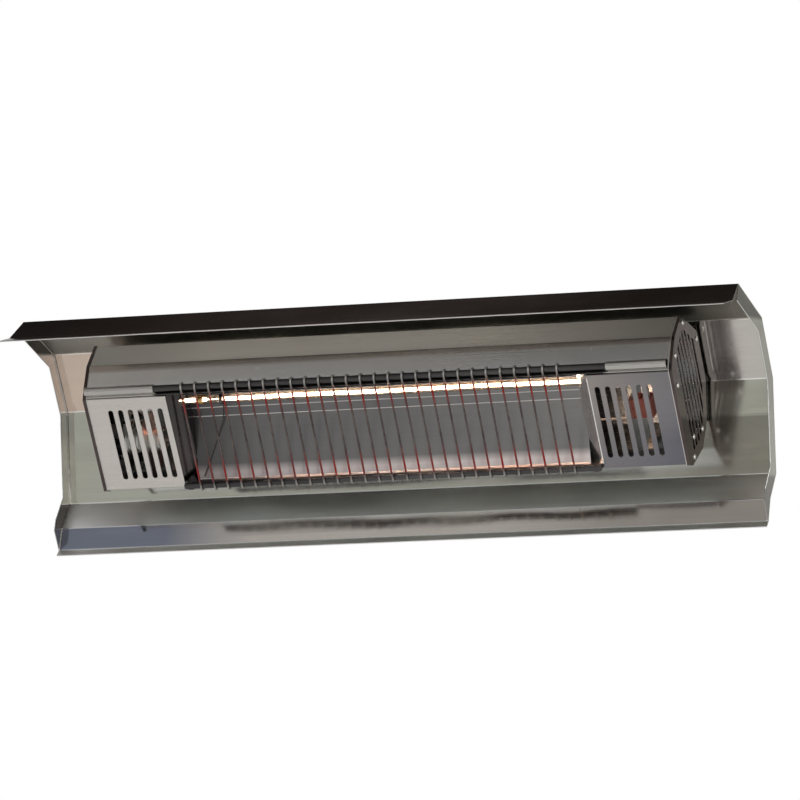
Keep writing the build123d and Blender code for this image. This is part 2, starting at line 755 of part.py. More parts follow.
# Terminal block on the right bay plate.
BLOCK_LENGTH = 30.0
block_low_x = PLATE_X + 1.2
with BuildPart() as terminal_block:
    with BuildSketch(FACE_CUT.offset(66.0)):
        with Locations((block_low_x + BLOCK_LENGTH / 2, 32.0)):
            Rectangle(BLOCK_LENGTH, 22)
    extrude(amount=30)
    with BuildSketch(FACE_CUT.offset(96.0)):
        with Locations((block_low_x + BLOCK_LENGTH / 2, 32.0)):
            with GridLocations(10, 1, 3, 1):
                Rectangle(6.5, 14)
    extrude(amount=-6, mode=Mode.SUBTRACT)
save(terminal_block.part, "terminal_block")

with BuildPart() as terminal_screws:
    with BuildSketch(FACE_CUT.offset(90.0)):
        with Locations((block_low_x + BLOCK_LENGTH / 2, 32.0)):
            with GridLocations(10, 1, 3, 1):
                Circle(2.6)
    extrude(amount=3.5)
save(terminal_screws.part, "terminal_screws")

# Overheat cut-out: a bimetal disc on the back of the reflector.
cutout_base = face_point(60.0, 26.6)
facet_angle = atan2(94.3 - 8.0, 38.0 - 6.0)
with BuildPart() as overheat_cutout:
    facet_y = lean_z * sin(facet_angle) + lean_y * cos(facet_angle)
    facet_z = lean_y * sin(facet_angle) - lean_z * cos(facet_angle)
    with BuildSketch(Plane(origin=(60, *cutout_base), x_dir=(1, 0, 0), z_dir=(0, facet_y, facet_z))):
        Circle(8)
    extrude(amount=7)
    with BuildSketch(Plane(origin=(60, *cutout_base), x_dir=(1, 0, 0), z_dir=(0, facet_y, facet_z))):
        SlotOverall(30, 9)
    extrude(amount=1)
    add(reflector, mode=Mode.SUBTRACT)
save(overheat_cutout.part, "overheat_cutout")

# Rocker switch: bezel and body in the left cap, rocker on two trunnions.
cap_outer_x = -(HEATER_HALF + CAP_GAP + CAP_PAN)
ROCKER_R = 10.0
ROCKER_WIDTH = 10.0
TRUNNION_R = 1.5
BODY_DEPTH = 17.0
ROCKER_FACE = 6.2
ROCKER_TIP = (ROCKER_R**2 - ROCKER_FACE**2) ** 0.5
pivot_x = cap_outer_x + 2.5
switch_plane = Plane(origin=(cap_outer_x, switch_y, switch_z), x_dir=(0, -1, 0), z_dir=(-1, 0, 0))
with BuildPart() as switch_body:
    with BuildSketch(switch_plane):
        RectangleRounded(SWITCH_WIDTH + 4, SWITCH_OPENING + 6, 1.5)
    extrude(amount=2.0)
    with BuildSketch(switch_plane):
        Rectangle(SWITCH_WIDTH - 0.2, SWITCH_OPENING - 0.2)
    extrude(amount=-BODY_DEPTH)
    with BuildSketch(switch_plane.offset(2.0)):
        Rectangle(ROCKER_WIDTH + 0.6, 2 * ROCKER_R + 0.8)
    extrude(amount=-15.4, mode=Mode.SUBTRACT)
    with BuildSketch(Plane(origin=(pivot_x, switch_y, switch_z), x_dir=(1, 0, 0), z_dir=(0, 1, 0))):
        Circle(TRUNNION_R + 0.06)
    extrude(amount=SWITCH_WIDTH / 2 - 0.6, both=True, mode=Mode.SUBTRACT)
save(switch_body.part, "switch_body")

ROCK = 10.0
with BuildPart() as switch_rocker:
    rocker_plane = Plane(
        origin=(pivot_x, switch_y, switch_z),
        x_dir=(-cos(radians(ROCK)), 0, sin(radians(ROCK))),
        z_dir=(0, 1, 0),
    )
    with BuildSketch(rocker_plane):
        with BuildLine():
            Polyline((ROCKER_FACE, -ROCKER_TIP), (ROCKER_FACE - 1.2, 0), (ROCKER_FACE, ROCKER_TIP))
            ThreePointArc((ROCKER_FACE, ROCKER_TIP), (-ROCKER_R, 0), (ROCKER_FACE, -ROCKER_TIP))
        make_face()
    extrude(amount=ROCKER_WIDTH / 2, both=True)
    with BuildSketch(rocker_plane):
        Circle(TRUNNION_R)
    extrude(amount=SWITCH_WIDTH / 2 - 0.9, both=True)
save(switch_rocker.part, "switch_rocker")

# Cable inlet: a gland body through the left cap, its dome nut outside and lock nut inside.
GLAND_BORE_R = 4.0
GLAND_OUT = 9.0
GLAND_IN = 12.0
gland_plane = Plane(origin=(cap_outer_x, gland_y, gland_z), x_dir=(0, -1, 0), z_dir=(-1, 0, 0))
with BuildPart() as cable_gland:
    with BuildSketch(gland_plane):
        RegularPolygon(11.0, 6)
    extrude(amount=5)
    with BuildSketch(gland_plane):
        Circle(8.0)
    extrude(amount=-GLAND_IN)
    with BuildSketch(gland_plane.offset(5)):
        Circle(8.0)
    extrude(amount=GLAND_OUT - 5)
    with BuildSketch(gland_plane.offset(GLAND_OUT)):
        Circle(GLAND_BORE_R)
    extrude(amount=-GLAND_OUT - GLAND_IN, mode=Mode.SUBTRACT)
save(cable_gland.part, "cable_gland")

with BuildPart() as gland_dome_nut:
    with BuildSketch(gland_plane.offset(5)):
        RegularPolygon(11.0, 6)
        Circle(8.05, mode=Mode.SUBTRACT)
    extrude(amount=7)
    with BuildSketch(gland_plane.offset(12)):
        Circle(8.8)
        Circle(5.2, mode=Mode.SUBTRACT)
    extrude(amount=3)
save(gland_dome_nut.part, "gland_dome_nut")

with BuildPart() as gland_lock_nut:
    with BuildSketch(gland_plane.offset(-SHEET)):
        RegularPolygon(11.0, 6)
        Circle(8.05, mode=Mode.SUBTRACT)
    extrude(amount=-3.5)
save(gland_lock_nut.part, "gland_lock_nut")

# Internal leads: silicone-covered, held between their terminals.
LEAD_R = 1.6


def lead(points, bend, name):
    """A round lead along straight runs joined by tangent arcs."""
    with BuildPart() as wire:
        with BuildLine():
            route = FilletPolyline(*points, radius=bend)
        with BuildSketch(Plane(origin=route @ 0, z_dir=route % 0)):
            Circle(LEAD_R)
        sweep(path=route)
    save(wire.part, name)


ceramic_end_x = TUBE_HALF + CERAMIC_LENGTH
lead(
    [
        (-ceramic_end_x, *face_point(LAMP_HEIGHT, LAMP_DEPTH)),
        (-ceramic_end_x - 22, *face_point(LAMP_HEIGHT, LAMP_DEPTH)),
        (-ceramic_end_x - 22, *face_point(92.0, 70.0)),
        (-ceramic_end_x - 22, *face_point(66.0, 93.0)),
        (cap_outer_x + BODY_DEPTH, *face_point(66.0, 93.0)),
    ],
    9.0,
    "lamp_lead_left",
)
block_mid_x = block_low_x + BLOCK_LENGTH / 2
lead(
    [
        (ceramic_end_x, *face_point(LAMP_HEIGHT, LAMP_DEPTH)),
        (block_mid_x + 10, *face_point(LAMP_HEIGHT, LAMP_DEPTH)),
        (block_mid_x + 10, *face_point(114.0, 32.0)),
        (block_mid_x + 10, *face_point(93.5, 32.0)),
    ],
    7.0,
    "lamp_lead_right",
)
lead(
    [
        (block_mid_x - 4, *face_point(66.0, LEAD_PLACE[1])),
        (block_mid_x - 4, *face_point(*LEAD_PLACE)),
        (CONDUIT_LOW_X - 9, *face_point(*LEAD_PLACE)),
        (CONDUIT_LOW_X - 9, *face_point(70.0, 88.0)),
        (cap_outer_x + BODY_DEPTH, *face_point(70.0, 88.0)),
    ],
    3.0,
    "return_lead",
)
lead(
    [
        (cap_outer_x + GLAND_IN, gland_y, gland_z),
        (CONDUIT_LOW_X - 3, gland_y, gland_z),
        (CONDUIT_LOW_X - 3, *face_point(80.0, 90.0)),
        (cap_outer_x + BODY_DEPTH, *face_point(80.0, 90.0)),
    ],
    4.0,
    "supply_lead",
)
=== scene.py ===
"""Looks of the heat lamp warmer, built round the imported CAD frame.

Metres, in the frame's own axes: X along the hood, +Y into the wall, +Z up.
"""
import math
import random

import bmesh
import bpy
from mathutils import Matrix, Vector


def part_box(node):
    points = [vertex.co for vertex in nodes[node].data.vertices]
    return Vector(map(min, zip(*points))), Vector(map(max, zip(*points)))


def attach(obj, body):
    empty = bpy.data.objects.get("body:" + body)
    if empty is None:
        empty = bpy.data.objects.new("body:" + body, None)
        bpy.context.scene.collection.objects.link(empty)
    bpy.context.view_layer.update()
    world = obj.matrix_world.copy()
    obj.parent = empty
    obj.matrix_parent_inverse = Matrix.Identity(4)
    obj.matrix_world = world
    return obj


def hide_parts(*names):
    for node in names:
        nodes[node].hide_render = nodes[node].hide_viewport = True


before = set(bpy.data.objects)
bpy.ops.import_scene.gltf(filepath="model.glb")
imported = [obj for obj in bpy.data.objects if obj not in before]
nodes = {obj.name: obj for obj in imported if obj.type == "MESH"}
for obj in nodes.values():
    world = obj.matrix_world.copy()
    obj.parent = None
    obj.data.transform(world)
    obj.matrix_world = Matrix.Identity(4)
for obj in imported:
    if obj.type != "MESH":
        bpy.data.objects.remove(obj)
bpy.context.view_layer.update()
scene = bpy.context.scene

# ---------------------------------------------------------------- places taken from the design

SHEET = 0.0012
LIP_FLARE = 0.0045
HOOD_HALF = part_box("hood_shell")[1].x - LIP_FLARE
BACK_PANEL_HALF = 0.0685
HAZE_FRONT = -0.1525  # the lip lies in front of this, the rest of the hood behind it


def walk(start, runs):
    """Corners (y, z) reached from start by straight runs of (length, angle in degrees)."""
    corners = [start]
    for length, angle in runs:
        y, z = corners[-1]
        turn = math.radians(angle)
        corners.append((y + length * math.cos(turn), z + length * math.sin(turn)))
    return corners


# The front surface of the hood's sheet in section, from its lowest fold up to the lip's fold.
HOOD_LINE = [
    *reversed(walk((-SHEET, -BACK_PANEL_HALF), ((0.0490, 227.5), (0.0355, 248.5)))),
    *walk((-SHEET, BACK_PANEL_HALF), ((0.0950, 117.5), (0.1155, 158.0))),
]

FACE_TILT = math.radians(28.5)
FACE_FOOT_Y, FACE_FOOT_Z = -0.0985, -0.0530


def on_face(u, d):
    """(y, z) of a point u metres up the heater's front face and d metres behind it."""
    y = FACE_FOOT_Y - u * math.sin(FACE_TILT) + d * math.cos(FACE_TILT)
    z = FACE_FOOT_Z + u * math.cos(FACE_TILT) + d * math.sin(FACE_TILT)
    return y, z


def centre(name):
    low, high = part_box(name)
    return (low + high) / 2


# ---------------------------------------------------------------- node helpers


def new_material(name):
    """(material, node tree, its Principled shader)."""
    mat = bpy.data.materials.new(name)
    mat.use_nodes = True
    tree = mat.node_tree
    for n in list(tree.nodes):
        if n.type not in {"OUTPUT_MATERIAL", "BSDF_PRINCIPLED"}:
            tree.nodes.remove(n)
    return mat, tree, tree.nodes["Principled BSDF"]


def node(tree, kind, **values):
    """A new node with the given input values."""
    n = tree.nodes.new(kind)
    for key, value in values.items():
        n.inputs[key].default_value = value
    return n


def set_or_link(tree, socket, value):
    """Gives a socket a number, a colour or another node's output."""
    if isinstance(value, (int, float)):
        socket.default_value = value
    elif isinstance(value, tuple):
        socket.default_value = (*value, 1)
    else:
        tree.links.new(value, socket)


def noise(tree, scale, detail=3.0, rough=0.55, offset=(0, 0, 0)):
    """Noise over object coordinates in metres, with scale features to the metre on each axis."""
    where = node(tree, "ShaderNodeTexCoord")
    mapping = node(tree, "ShaderNodeMapping", Scale=scale, Location=offset)
    n = node(tree, "ShaderNodeTexNoise", Scale=1.0, Detail=detail, Roughness=rough, Distortion=0.0)
    tree.links.new(where.outputs["Object"], mapping.inputs["Vector"])
    tree.links.new(mapping.outputs["Vector"], n.inputs["Vector"])
    return n.outputs["Fac"]


def remap(tree, value, low, high, to_low, to_high):
    m = node(tree, "ShaderNodeMapRange", **{
        "From Min": low, "From Max": high, "To Min": to_low, "To Max": to_high,
    })
    tree.links.new(value, m.inputs["Value"])
    return m.outputs["Result"]


def ramp(tree, value, stops):
    r = node(tree, "ShaderNodeValToRGB")
    elements = r.color_ramp.elements
    while len(elements) < len(stops):
        elements.new(0.5)
    for element, (position, colour) in zip(elements, stops):
        element.position = position
        element.color = (*colour, 1)
    tree.links.new(value, r.inputs["Fac"])
    return r.outputs["Color"]


def mix(tree, fac, a, b, mode="MIX", clamp=False):
    m = node(tree, "ShaderNodeMix")
    m.data_type = "RGBA"
    m.blend_type = mode
    m.clamp_result = clamp
    fac_socket, a_socket, b_socket = m.inputs[0], m.inputs[6], m.inputs[7]
    set_or_link(tree, fac_socket, fac)
    set_or_link(tree, a_socket, a)
    set_or_link(tree, b_socket, b)
    return m.outputs[2]


def maths(tree, op, a, b=0.0):
    m = node(tree, "ShaderNodeMath")
    m.operation = op
    set_or_link(tree, m.inputs[0], a)
    set_or_link(tree, m.inputs[1], b)
    return m.outputs[0]


def grey(tree, value):
    """A number as a colour without hue."""
    c = node(tree, "ShaderNodeCombineXYZ")
    for socket in c.inputs:
        tree.links.new(value, socket)
    return c.outputs[0]


def bump(tree, bsdf, heights):
    """Chain of bumps from (height output, distance in metres, strength)."""
    last = None
    for relief, distance, strength in heights:
        b = node(tree, "ShaderNodeBump", Distance=distance, Strength=strength)
        tree.links.new(relief, b.inputs["Height"])
        if last is not None:
            tree.links.new(last, b.inputs["Normal"])
        last = b.outputs["Normal"]
    tree.links.new(last, bsdf.inputs["Normal"])


def spot(tree, axis, source="Object"):
    """One coordinate of the point in the row frame, in metres, or of its normal."""
    where = node(tree, "ShaderNodeTexCoord")
    split = node(tree, "ShaderNodeSeparateXYZ")
    tree.links.new(where.outputs[source], split.inputs[0])
    return split.outputs[axis]


def hump(tree, value, rise_from, rise_to, fall_from, fall_to):
    """0, rising to 1 and falling back to 0."""
    rise = remap(tree, value, rise_from, rise_to, 0.0, 1.0)
    fall = remap(tree, value, fall_from, fall_to, 1.0, 0.0)
    return maths(tree, "MULTIPLY", rise, fall)


def band(tree, value, low, high, edge):
    """1 between low and high, falling to 0 over edge outside them."""
    return hump(tree, value, low - edge, low, high, high + edge)


# ---------------------------------------------------------------- kinds of material

PLAIN = (1.0, 1.0, 1.0)
REFLECTANCE = 1.26  # raises every stated sheet tone to what the metal reflects in this studio
BRIGHTEST = 0.97
FOLD_HIGHLIGHT_TONE = (0.97, 0.96, 0.94)

# Features to the metre along X, Y and Z.
LONG_GRAIN = (3.0, 900.0, 900.0)
CLOUDS = (4.0, 9.0, 9.0)
SMEARS = (1.6, 38.0, 38.0)
SCUFFS = (60.0, 240.0, 240.0)
WAVES = (5.0, 11.0, 11.0)


def scaled(colour, factor, most=1.0):
    return tuple(min(most, c * factor) for c in colour)


def sheet_steel(name, tone, tint, rough, grain=LONG_GRAIN, wave=0.0, patch=0.16, folds=(), haze=(),
                painted_light=(), fold_width=0.0012):
    """Bright folded sheet: long rolling grain, cloudy handling marks, small scuffs, painted highlights at
    its folds.

    wave is the depth of the sheet's slow unevenness and patch the strength of its dark smears.
    haze lists (low, high, extra roughness) over the height, for y behind HAZE_FRONT.
    The list of painted tones holds (axis, low, high, tint at low, tint at high), each a slow change
    of tone: painted reflections, highlights and shade that stand in for surroundings that a studio
    doesn't have. One that has two heights after it is held between them, on the faces turned to the front.
    """
    mat, tree, bsdf = new_material(name)
    tone = scaled(tone, REFLECTANCE, BRIGHTEST)
    tint = scaled(tint, REFLECTANCE, BRIGHTEST)
    dark, light = scaled(tone, 0.62), scaled(tone, 1.35)
    bsdf.inputs["Metallic"].default_value = 1.0
    fine = noise(tree, grain, 4.0, 0.6)
    cloud = noise(tree, CLOUDS, 4.0, 0.55, (3.1, 0.7, 1.9))
    smear = noise(tree, SMEARS, 3.0, 0.6, (0.4, 2.2, 5.0))
    scuff = noise(tree, SCUFFS, 6.0, 0.75, (9.0, 4.0, 2.0))
    z = spot(tree, "Z")

    base = mix(tree, remap(tree, cloud, 0.35, 0.68, 0.0, 1.0), tone, tint)
    base = mix(tree, remap(tree, smear, 0.52, 0.75, 0.0, patch), base, dark)
    base = mix(tree, remap(tree, fine, 0.40, 0.75, 0.0, 0.10), base, dark)
    base = mix(tree, remap(tree, scuff, 0.66, 0.78, 0.0, 0.35), base, light)
    # Painted light: each listed change of tone stands in for a reflection, a highlight or shade.
    for axis, low, high, at_low, at_high, *heights in painted_light:
        change = mix(tree, remap(tree, spot(tree, axis), low, high, 0.0, 1.0), at_low, at_high)
        if heights:
            front = remap(tree, spot(tree, "Y", "Normal"), -0.05, 0.0, 1.0, 0.0)
            here = maths(tree, "MULTIPLY", band(tree, z, *heights, 0.0015), front)
            change = mix(tree, here, PLAIN, change)
        base = mix(tree, 1.0, base, change, "MULTIPLY", True)
    for fold in folds:
        # Painted highlight: the bend is drawn brighter than the flat sheet, where its crease would catch
        # the light.
        away = maths(tree, "ABSOLUTE", maths(tree, "SUBTRACT", z, fold))
        fold_highlight = remap(tree, away, fold_width * 0.4, fold_width * 1.4, 0.85, 0.0)
        base = mix(tree, fold_highlight, base, FOLD_HIGHLIGHT_TONE)
    tree.links.new(base, bsdf.inputs["Base Color"])

    r = remap(tree, cloud, 0.3, 0.7, rough - 0.05, rough + 0.07)
    r = maths(tree, "ADD", r, remap(tree, fine, 0.3, 0.7, -0.03, 0.05))
    r = maths(tree, "ADD", r, remap(tree, scuff, 0.62, 0.8, 0.0, 0.12))
    behind = remap(tree, spot(tree, "Y"), HAZE_FRONT - 0.001, HAZE_FRONT, 0.0, 1.0)
    for low, high, more in haze:
        here = maths(tree, "MULTIPLY", band(tree, z, low, high, 0.002), behind)
        r = maths(tree, "ADD", r, maths(tree, "MULTIPLY", here, more))
    tree.links.new(r, bsdf.inputs["Roughness"])

    relief = [(fine, 0.00002, 0.35), (scuff, 0.00003, 0.25)]
    if wave:
        relief.append((noise(tree, WAVES, 1.0, 0.4, (1.0, 6.0, 3.0)), wave, 1.0))
    bump(tree, bsdf, relief)
    return mat


def wire_with_painted_glow(name):
    """Drawn wire: dark bronze, with painted highlights at its bends and a painted dull red glow, partly
    emitted, by the lamp and by the sill.
    """
    bright, painted_glow_red = (0.55, 0.54, 0.52), (0.26, 0.025, 0.02)
    mat, tree, bsdf = new_material(name)
    bsdf.inputs["Metallic"].default_value = 1.0
    fine = noise(tree, (400.0, 400.0, 60.0), 4.0, 0.6)
    cloud = noise(tree, (30.0, 30.0, 30.0), 3.0, 0.6, (2.0, 1.0, 0.0))
    z = spot(tree, "Z")
    base = mix(tree, remap(tree, cloud, 0.35, 0.65, 0.0, 1.0), (0.10, 0.08, 0.08), (0.20, 0.17, 0.16))
    base = mix(tree, remap(tree, fine, 0.55, 0.8, 0.0, 0.4), base, (0.04, 0.025, 0.025))
    # Painted highlights where the wire bends over the top rod and at its ends under the bottom rod.
    base = mix(tree, remap(tree, z, 0.078, 0.090, 0.0, 1.0), base, bright)
    base = mix(tree, remap(tree, z, -0.050, -0.056, 0.0, 0.6), base, bright)
    # Painted glow: dull red near the lamp and near the sill, partly emitted, standing in for the lamp's red
    # light falling on the wire.
    near_lamp = hump(tree, z, 0.040, 0.062, 0.066, 0.080)
    near_sill = hump(tree, z, -0.050, -0.044, -0.036, -0.008)
    uneven = remap(tree, cloud, 0.35, 0.6, 0.35, 1.0)
    painted_glow_mask = maths(tree, "MULTIPLY", maths(tree, "ADD", near_lamp, near_sill), uneven)
    base = mix(tree, painted_glow_mask, base, painted_glow_red)
    tree.links.new(base, bsdf.inputs["Base Color"])
    glow = mix(tree, painted_glow_mask, (0.0, 0.0, 0.0), (0.075, 0.003, 0.003))
    tree.links.new(glow, bsdf.inputs["Emission Color"])
    bsdf.inputs["Emission Strength"].default_value = 0.8
    tree.links.new(remap(tree, fine, 0.3, 0.7, 0.22, 0.38), bsdf.inputs["Roughness"])
    bump(tree, bsdf, [(fine, 0.00003, 0.4)])
    return mat


def moulded(name, tone, tint, rough, metallic=0.0):
    """Moulded, fired or cast material: pores, faint mottling, uneven sheen."""
    mat, tree, bsdf = new_material(name)
    bsdf.inputs["Metallic"].default_value = metallic
    pores = noise(tree, (900.0, 900.0, 900.0), 5.0, 0.7)
    cloud = noise(tree, (60.0, 60.0, 60.0), 4.0, 0.6, (5.0, 5.0, 1.0))
    base = mix(tree, remap(tree, cloud, 0.35, 0.65, 0.0, 1.0), tone, tint)
    base = mix(tree, remap(tree, pores, 0.58, 0.75, 0.0, 0.45), base, scaled(tone, 0.5))
    tree.links.new(base, bsdf.inputs["Base Color"])
    tree.links.new(remap(tree, pores, 0.3, 0.7, rough - 0.08, rough + 0.1), bsdf.inputs["Roughness"])
    bump(tree, bsdf, [(pores, 0.00005, 0.35)])
    return mat


def quartz_glass(name):
    """Clear tube with drawing lines and a thin warm haze."""
    mat, tree, bsdf = new_material(name)
    bsdf.inputs["Transmission Weight"].default_value = 1.0
    bsdf.inputs["IOR"].default_value = 1.46
    draw = noise(tree, (8.0, 700.0, 700.0), 3.0, 0.6)
    haze = noise(tree, (30.0, 120.0, 120.0), 4.0, 0.6, (1.0, 2.0, 3.0))
    base = mix(tree, remap(tree, haze, 0.4, 0.7, 0.0, 1.0), (1.0, 0.95, 0.86), (0.95, 0.80, 0.62))
    tree.links.new(base, bsdf.inputs["Base Color"])
    tree.links.new(remap(tree, haze, 0.3, 0.75, 0.02, 0.14), bsdf.inputs["Roughness"])
    bump(tree, bsdf, [(draw, 0.00002, 0.3)])
    return mat


def lit_filament(name):
    """White-hot wire, uneven along its length."""
    mat, tree, bsdf = new_material(name)
    bsdf.inputs["Base Color"].default_value = (0.3, 0.2, 0.1, 1)
    bsdf.inputs["Roughness"].default_value = 0.6
    heat = noise(tree, (9.0, 60.0, 60.0), 3.0, 0.6)
    stops = [(0.3, (1.0, 0.66, 0.50)), (0.5, (1.0, 0.82, 0.70)), (0.75, (1.0, 0.93, 0.86))]
    colour = ramp(tree, heat, stops)
    tree.links.new(colour, bsdf.inputs["Emission Color"])
    bsdf.inputs["Emission Strength"].default_value = 16.0
    bump(tree, bsdf, [(heat, 0.0001, 0.2)])
    return mat


# ---------------------------------------------------------------- materials

# Heights between the hood's folds, from the foot up.
APRON = (-0.1370, -0.1056)
SILL = (-0.1036, -0.0700)
WALL_LOWER = (-0.0680, 0.0150)
WALL_UPPER = (0.0200, 0.0680)
SHOULDER = (0.0690, 0.1520)
BROW = (0.1535, 0.2000)

HOOD_FOLDS = [z for y, z in HOOD_LINE[:-1]]
HOOD_HAZE = ((0.1545, 0.1945, 0.24), (-0.1035, -0.0700, 0.26), (-0.1470, -0.1385, 0.30))
# Painted reflections and shade on the hood: the lip darkened; brow, shoulder, walls and apron made lighter
# or darker towards their ends; the sill brightened; the apron's left end darkened to blue-grey.
HOOD_PAINTED_LIGHT = (
    ("Y", HAZE_FRONT - 0.002, HAZE_FRONT, (0.54, 0.50, 0.49), PLAIN),
    ("X", -0.50, -0.28, (0.52, 0.54, 0.57), PLAIN, *BROW),
    ("X", 0.15, 0.45, PLAIN, (0.42, 0.42, 0.42), *BROW),
    ("X", -0.46, -0.10, (0.92, 0.78, 0.71), PLAIN, *SHOULDER),
    ("X", 0.30, 0.50, PLAIN, (0.84, 0.83, 0.84), *SHOULDER),
    ("X", 0.32, 0.47, PLAIN, (0.66, 0.64, 0.62), *WALL_LOWER),
    ("X", 0.32, 0.47, PLAIN, (1.25, 1.23, 1.22), *WALL_UPPER),
    ("X", -0.55, 0.10, (1.20, 1.22, 1.28), (1.18, 1.18, 1.18), *SILL),
    ("X", -0.38, -0.24, (0.34, 0.37, 0.48), (0.98, 0.93, 0.90), *APRON),
    ("X", 0.10, 0.40, PLAIN, (0.66, 0.64, 0.62), *APRON),
)
HOOD = sheet_steel(
    "hood_steel", (0.60, 0.595, 0.56), (0.70, 0.68, 0.63), 0.11, wave=0.0026, folds=HOOD_FOLDS,
    haze=HOOD_HAZE, painted_light=HOOD_PAINTED_LIGHT,
)
# Painted dark reflection: the end flanges darkened near their top and near their bottom.
FLANGE_PAINTED_LIGHT = (
    ("Z", 0.148, 0.154, PLAIN, (0.34, 0.33, 0.33)),
    ("Z", -0.075, -0.069, (0.55, 0.54, 0.56), PLAIN),
)
FLANGE = sheet_steel(
    "flange_steel", (0.60, 0.58, 0.56), (0.70, 0.68, 0.66), 0.18, (900.0, 40.0, 40.0), 0.0008,
    painted_light=FLANGE_PAINTED_LIGHT,
)
COVER_FRONT = (0.0700, 0.1155)
# Painted reflections on the heater's covers: lighter to the left, darker to the right, bluish below the
# fold at z 0.1155 and darker above it.
COVER_PAINTED_LIGHT = (
    ("X", -0.44, -0.10, (1.08, 1.07, 1.05), PLAIN),
    ("X", 0.10, 0.44, PLAIN, (0.90, 0.91, 0.92)),
    ("Z", 0.1155, 0.1205, (0.88, 0.98, 1.08), (0.66, 0.66, 0.66)),
    ("X", -0.40, -0.15, (1.12, 1.12, 1.12), PLAIN, *COVER_FRONT),
    ("X", -0.10, 0.30, PLAIN, (0.80, 0.80, 0.80), *COVER_FRONT),
)
COVER = sheet_steel(
    "cover_steel", (0.64, 0.61, 0.58), (0.70, 0.67, 0.63), 0.22, wave=0.0005, patch=0.06,
    painted_light=COVER_PAINTED_LIGHT,
)
VENT = sheet_steel("vent_steel", (0.57, 0.545, 0.52), (0.62, 0.60, 0.575), 0.28, wave=0.0005, patch=0.08)
# The right vent panel gets a darker copy of the vent steel: painted shade, darker still to its right and
# towards its bottom.
VENT_PAINTED_SHADE = (
    ("X", 0.322, 0.44, (1.10, 1.05, 1.0), (0.80, 0.80, 0.84)),
    ("Z", -0.045, 0.065, (0.66, 0.67, 0.72), (1.0, 0.97, 0.94)),
)
VENT_SHADED = sheet_steel(
    "vent_steel_painted_shade", (0.25, 0.25, 0.26), (0.31, 0.31, 0.32), 0.20, wave=0.0008, patch=0.08,
    painted_light=VENT_PAINTED_SHADE,
)
# The left reveal's steel is near black: painted dark reflection. The right reveal keeps a plain steel tone.
REVEAL = sheet_steel(
    "reveal_steel", (0.040, 0.038, 0.040), (0.085, 0.075, 0.075), 0.12, (3.0, 300.0, 300.0), 0.0004,
)
REVEAL_LIGHT = sheet_steel("reveal_steel_light", (0.62, 0.61, 0.60), (0.70, 0.69, 0.68), 0.22, wave=0.0004)
CAP = sheet_steel(
    "cap_steel", (0.075, 0.060, 0.058), (0.125, 0.10, 0.097), 0.16, (900.0, 60.0, 20.0), 0.0005,
)
# Painted light on the reflector: highlights at its folds, darker towards its left end, about three times
# brighter below z -0.034.
REFLECT_FOLDS = (0.0600, 0.0478, -0.0431)
REFLECT_PAINTED_LIGHT = (
    ("X", -0.30, -0.20, (0.46, 0.45, 0.45), PLAIN),
    ("X", -0.20, 0.26, (0.74, 0.74, 0.75), PLAIN),
    ("Z", -0.034, -0.022, (3.1, 2.85, 2.80), PLAIN),
)
REFLECT = sheet_steel(
    "reflector_sheet", (0.205, 0.205, 0.21), (0.25, 0.25, 0.25), 0.32, wave=0.0006, patch=0.10,
    folds=REFLECT_FOLDS, painted_light=REFLECT_PAINTED_LIGHT, fold_width=0.0005,
)
# Painted shade: only the middle of the top rail, between the hinge barrels, is darkened, standing in for
# the shadowed channel there.
RAIL_PAINTED_SHADE = (
    ("X", -0.344, -0.337, PLAIN, (0.16, 0.16, 0.165)),
    ("X", 0.346, 0.355, PLAIN, (6.0, 6.0, 5.9)),
)
RAIL = sheet_steel(
    "rail_steel", (0.44, 0.43, 0.415), (0.52, 0.51, 0.49), 0.20, patch=0.10, painted_light=RAIL_PAINTED_SHADE,
)
RODS = sheet_steel(
    "rod_steel", (0.055, 0.052, 0.054), (0.11, 0.105, 0.105), 0.16, (6.0, 800.0, 800.0), patch=0.4,
)
BARREL = sheet_steel(
    "barrel_steel", (0.44, 0.43, 0.415), (0.52, 0.51, 0.49), 0.20, (4.0, 500.0, 500.0), patch=0.3,
)
PLATED = sheet_steel("plated_steel", (0.62, 0.62, 0.60), (0.70, 0.69, 0.66), 0.36, (200.0, 200.0, 200.0))
SCREW = sheet_steel("screw_steel", (0.66, 0.65, 0.63), (0.74, 0.73, 0.70), 0.20, (500.0, 500.0, 500.0))
CLIP = sheet_steel("lamp_clip_steel", (0.10, 0.09, 0.085), (0.18, 0.16, 0.15), 0.20, (300.0, 300.0, 300.0))
# Near-white steel for thin rims and edges: painted highlights.
EDGE_HIGHLIGHT = sheet_steel(
    "painted_edge_highlight", (0.90, 0.88, 0.86), (0.97, 0.96, 0.94), 0.16, (40.0, 900.0, 900.0), patch=0.5,
)
WELD = sheet_steel(
    "weld_bead", (0.72, 0.70, 0.67), (0.84, 0.82, 0.80), 0.22, (700.0, 700.0, 700.0), patch=0.4,
)
WIRE = wire_with_painted_glow("guard_wire_steel")
CERAMIC = moulded("lamp_ceramic", (0.80, 0.77, 0.71), (0.88, 0.85, 0.80), 0.6)
NYLON = moulded("black_nylon", (0.030, 0.030, 0.032), (0.05, 0.05, 0.052), 0.45)
REDBLOCK = moulded("terminal_red", (0.42, 0.10, 0.08), (0.52, 0.16, 0.12), 0.5)
SILICONE = moulded("lead_silicone", (0.62, 0.58, 0.50), (0.70, 0.66, 0.58), 0.55)
BRASS = moulded("terminal_brass", (0.75, 0.55, 0.25), (0.80, 0.62, 0.32), 0.32, 1.0)
GOLD = moulded("lamp_gold_band", (0.72, 0.46, 0.16), (0.52, 0.30, 0.12), 0.24, 1.0)
QUARTZ = quartz_glass("quartz")
GLOW = lit_filament("filament_glow")

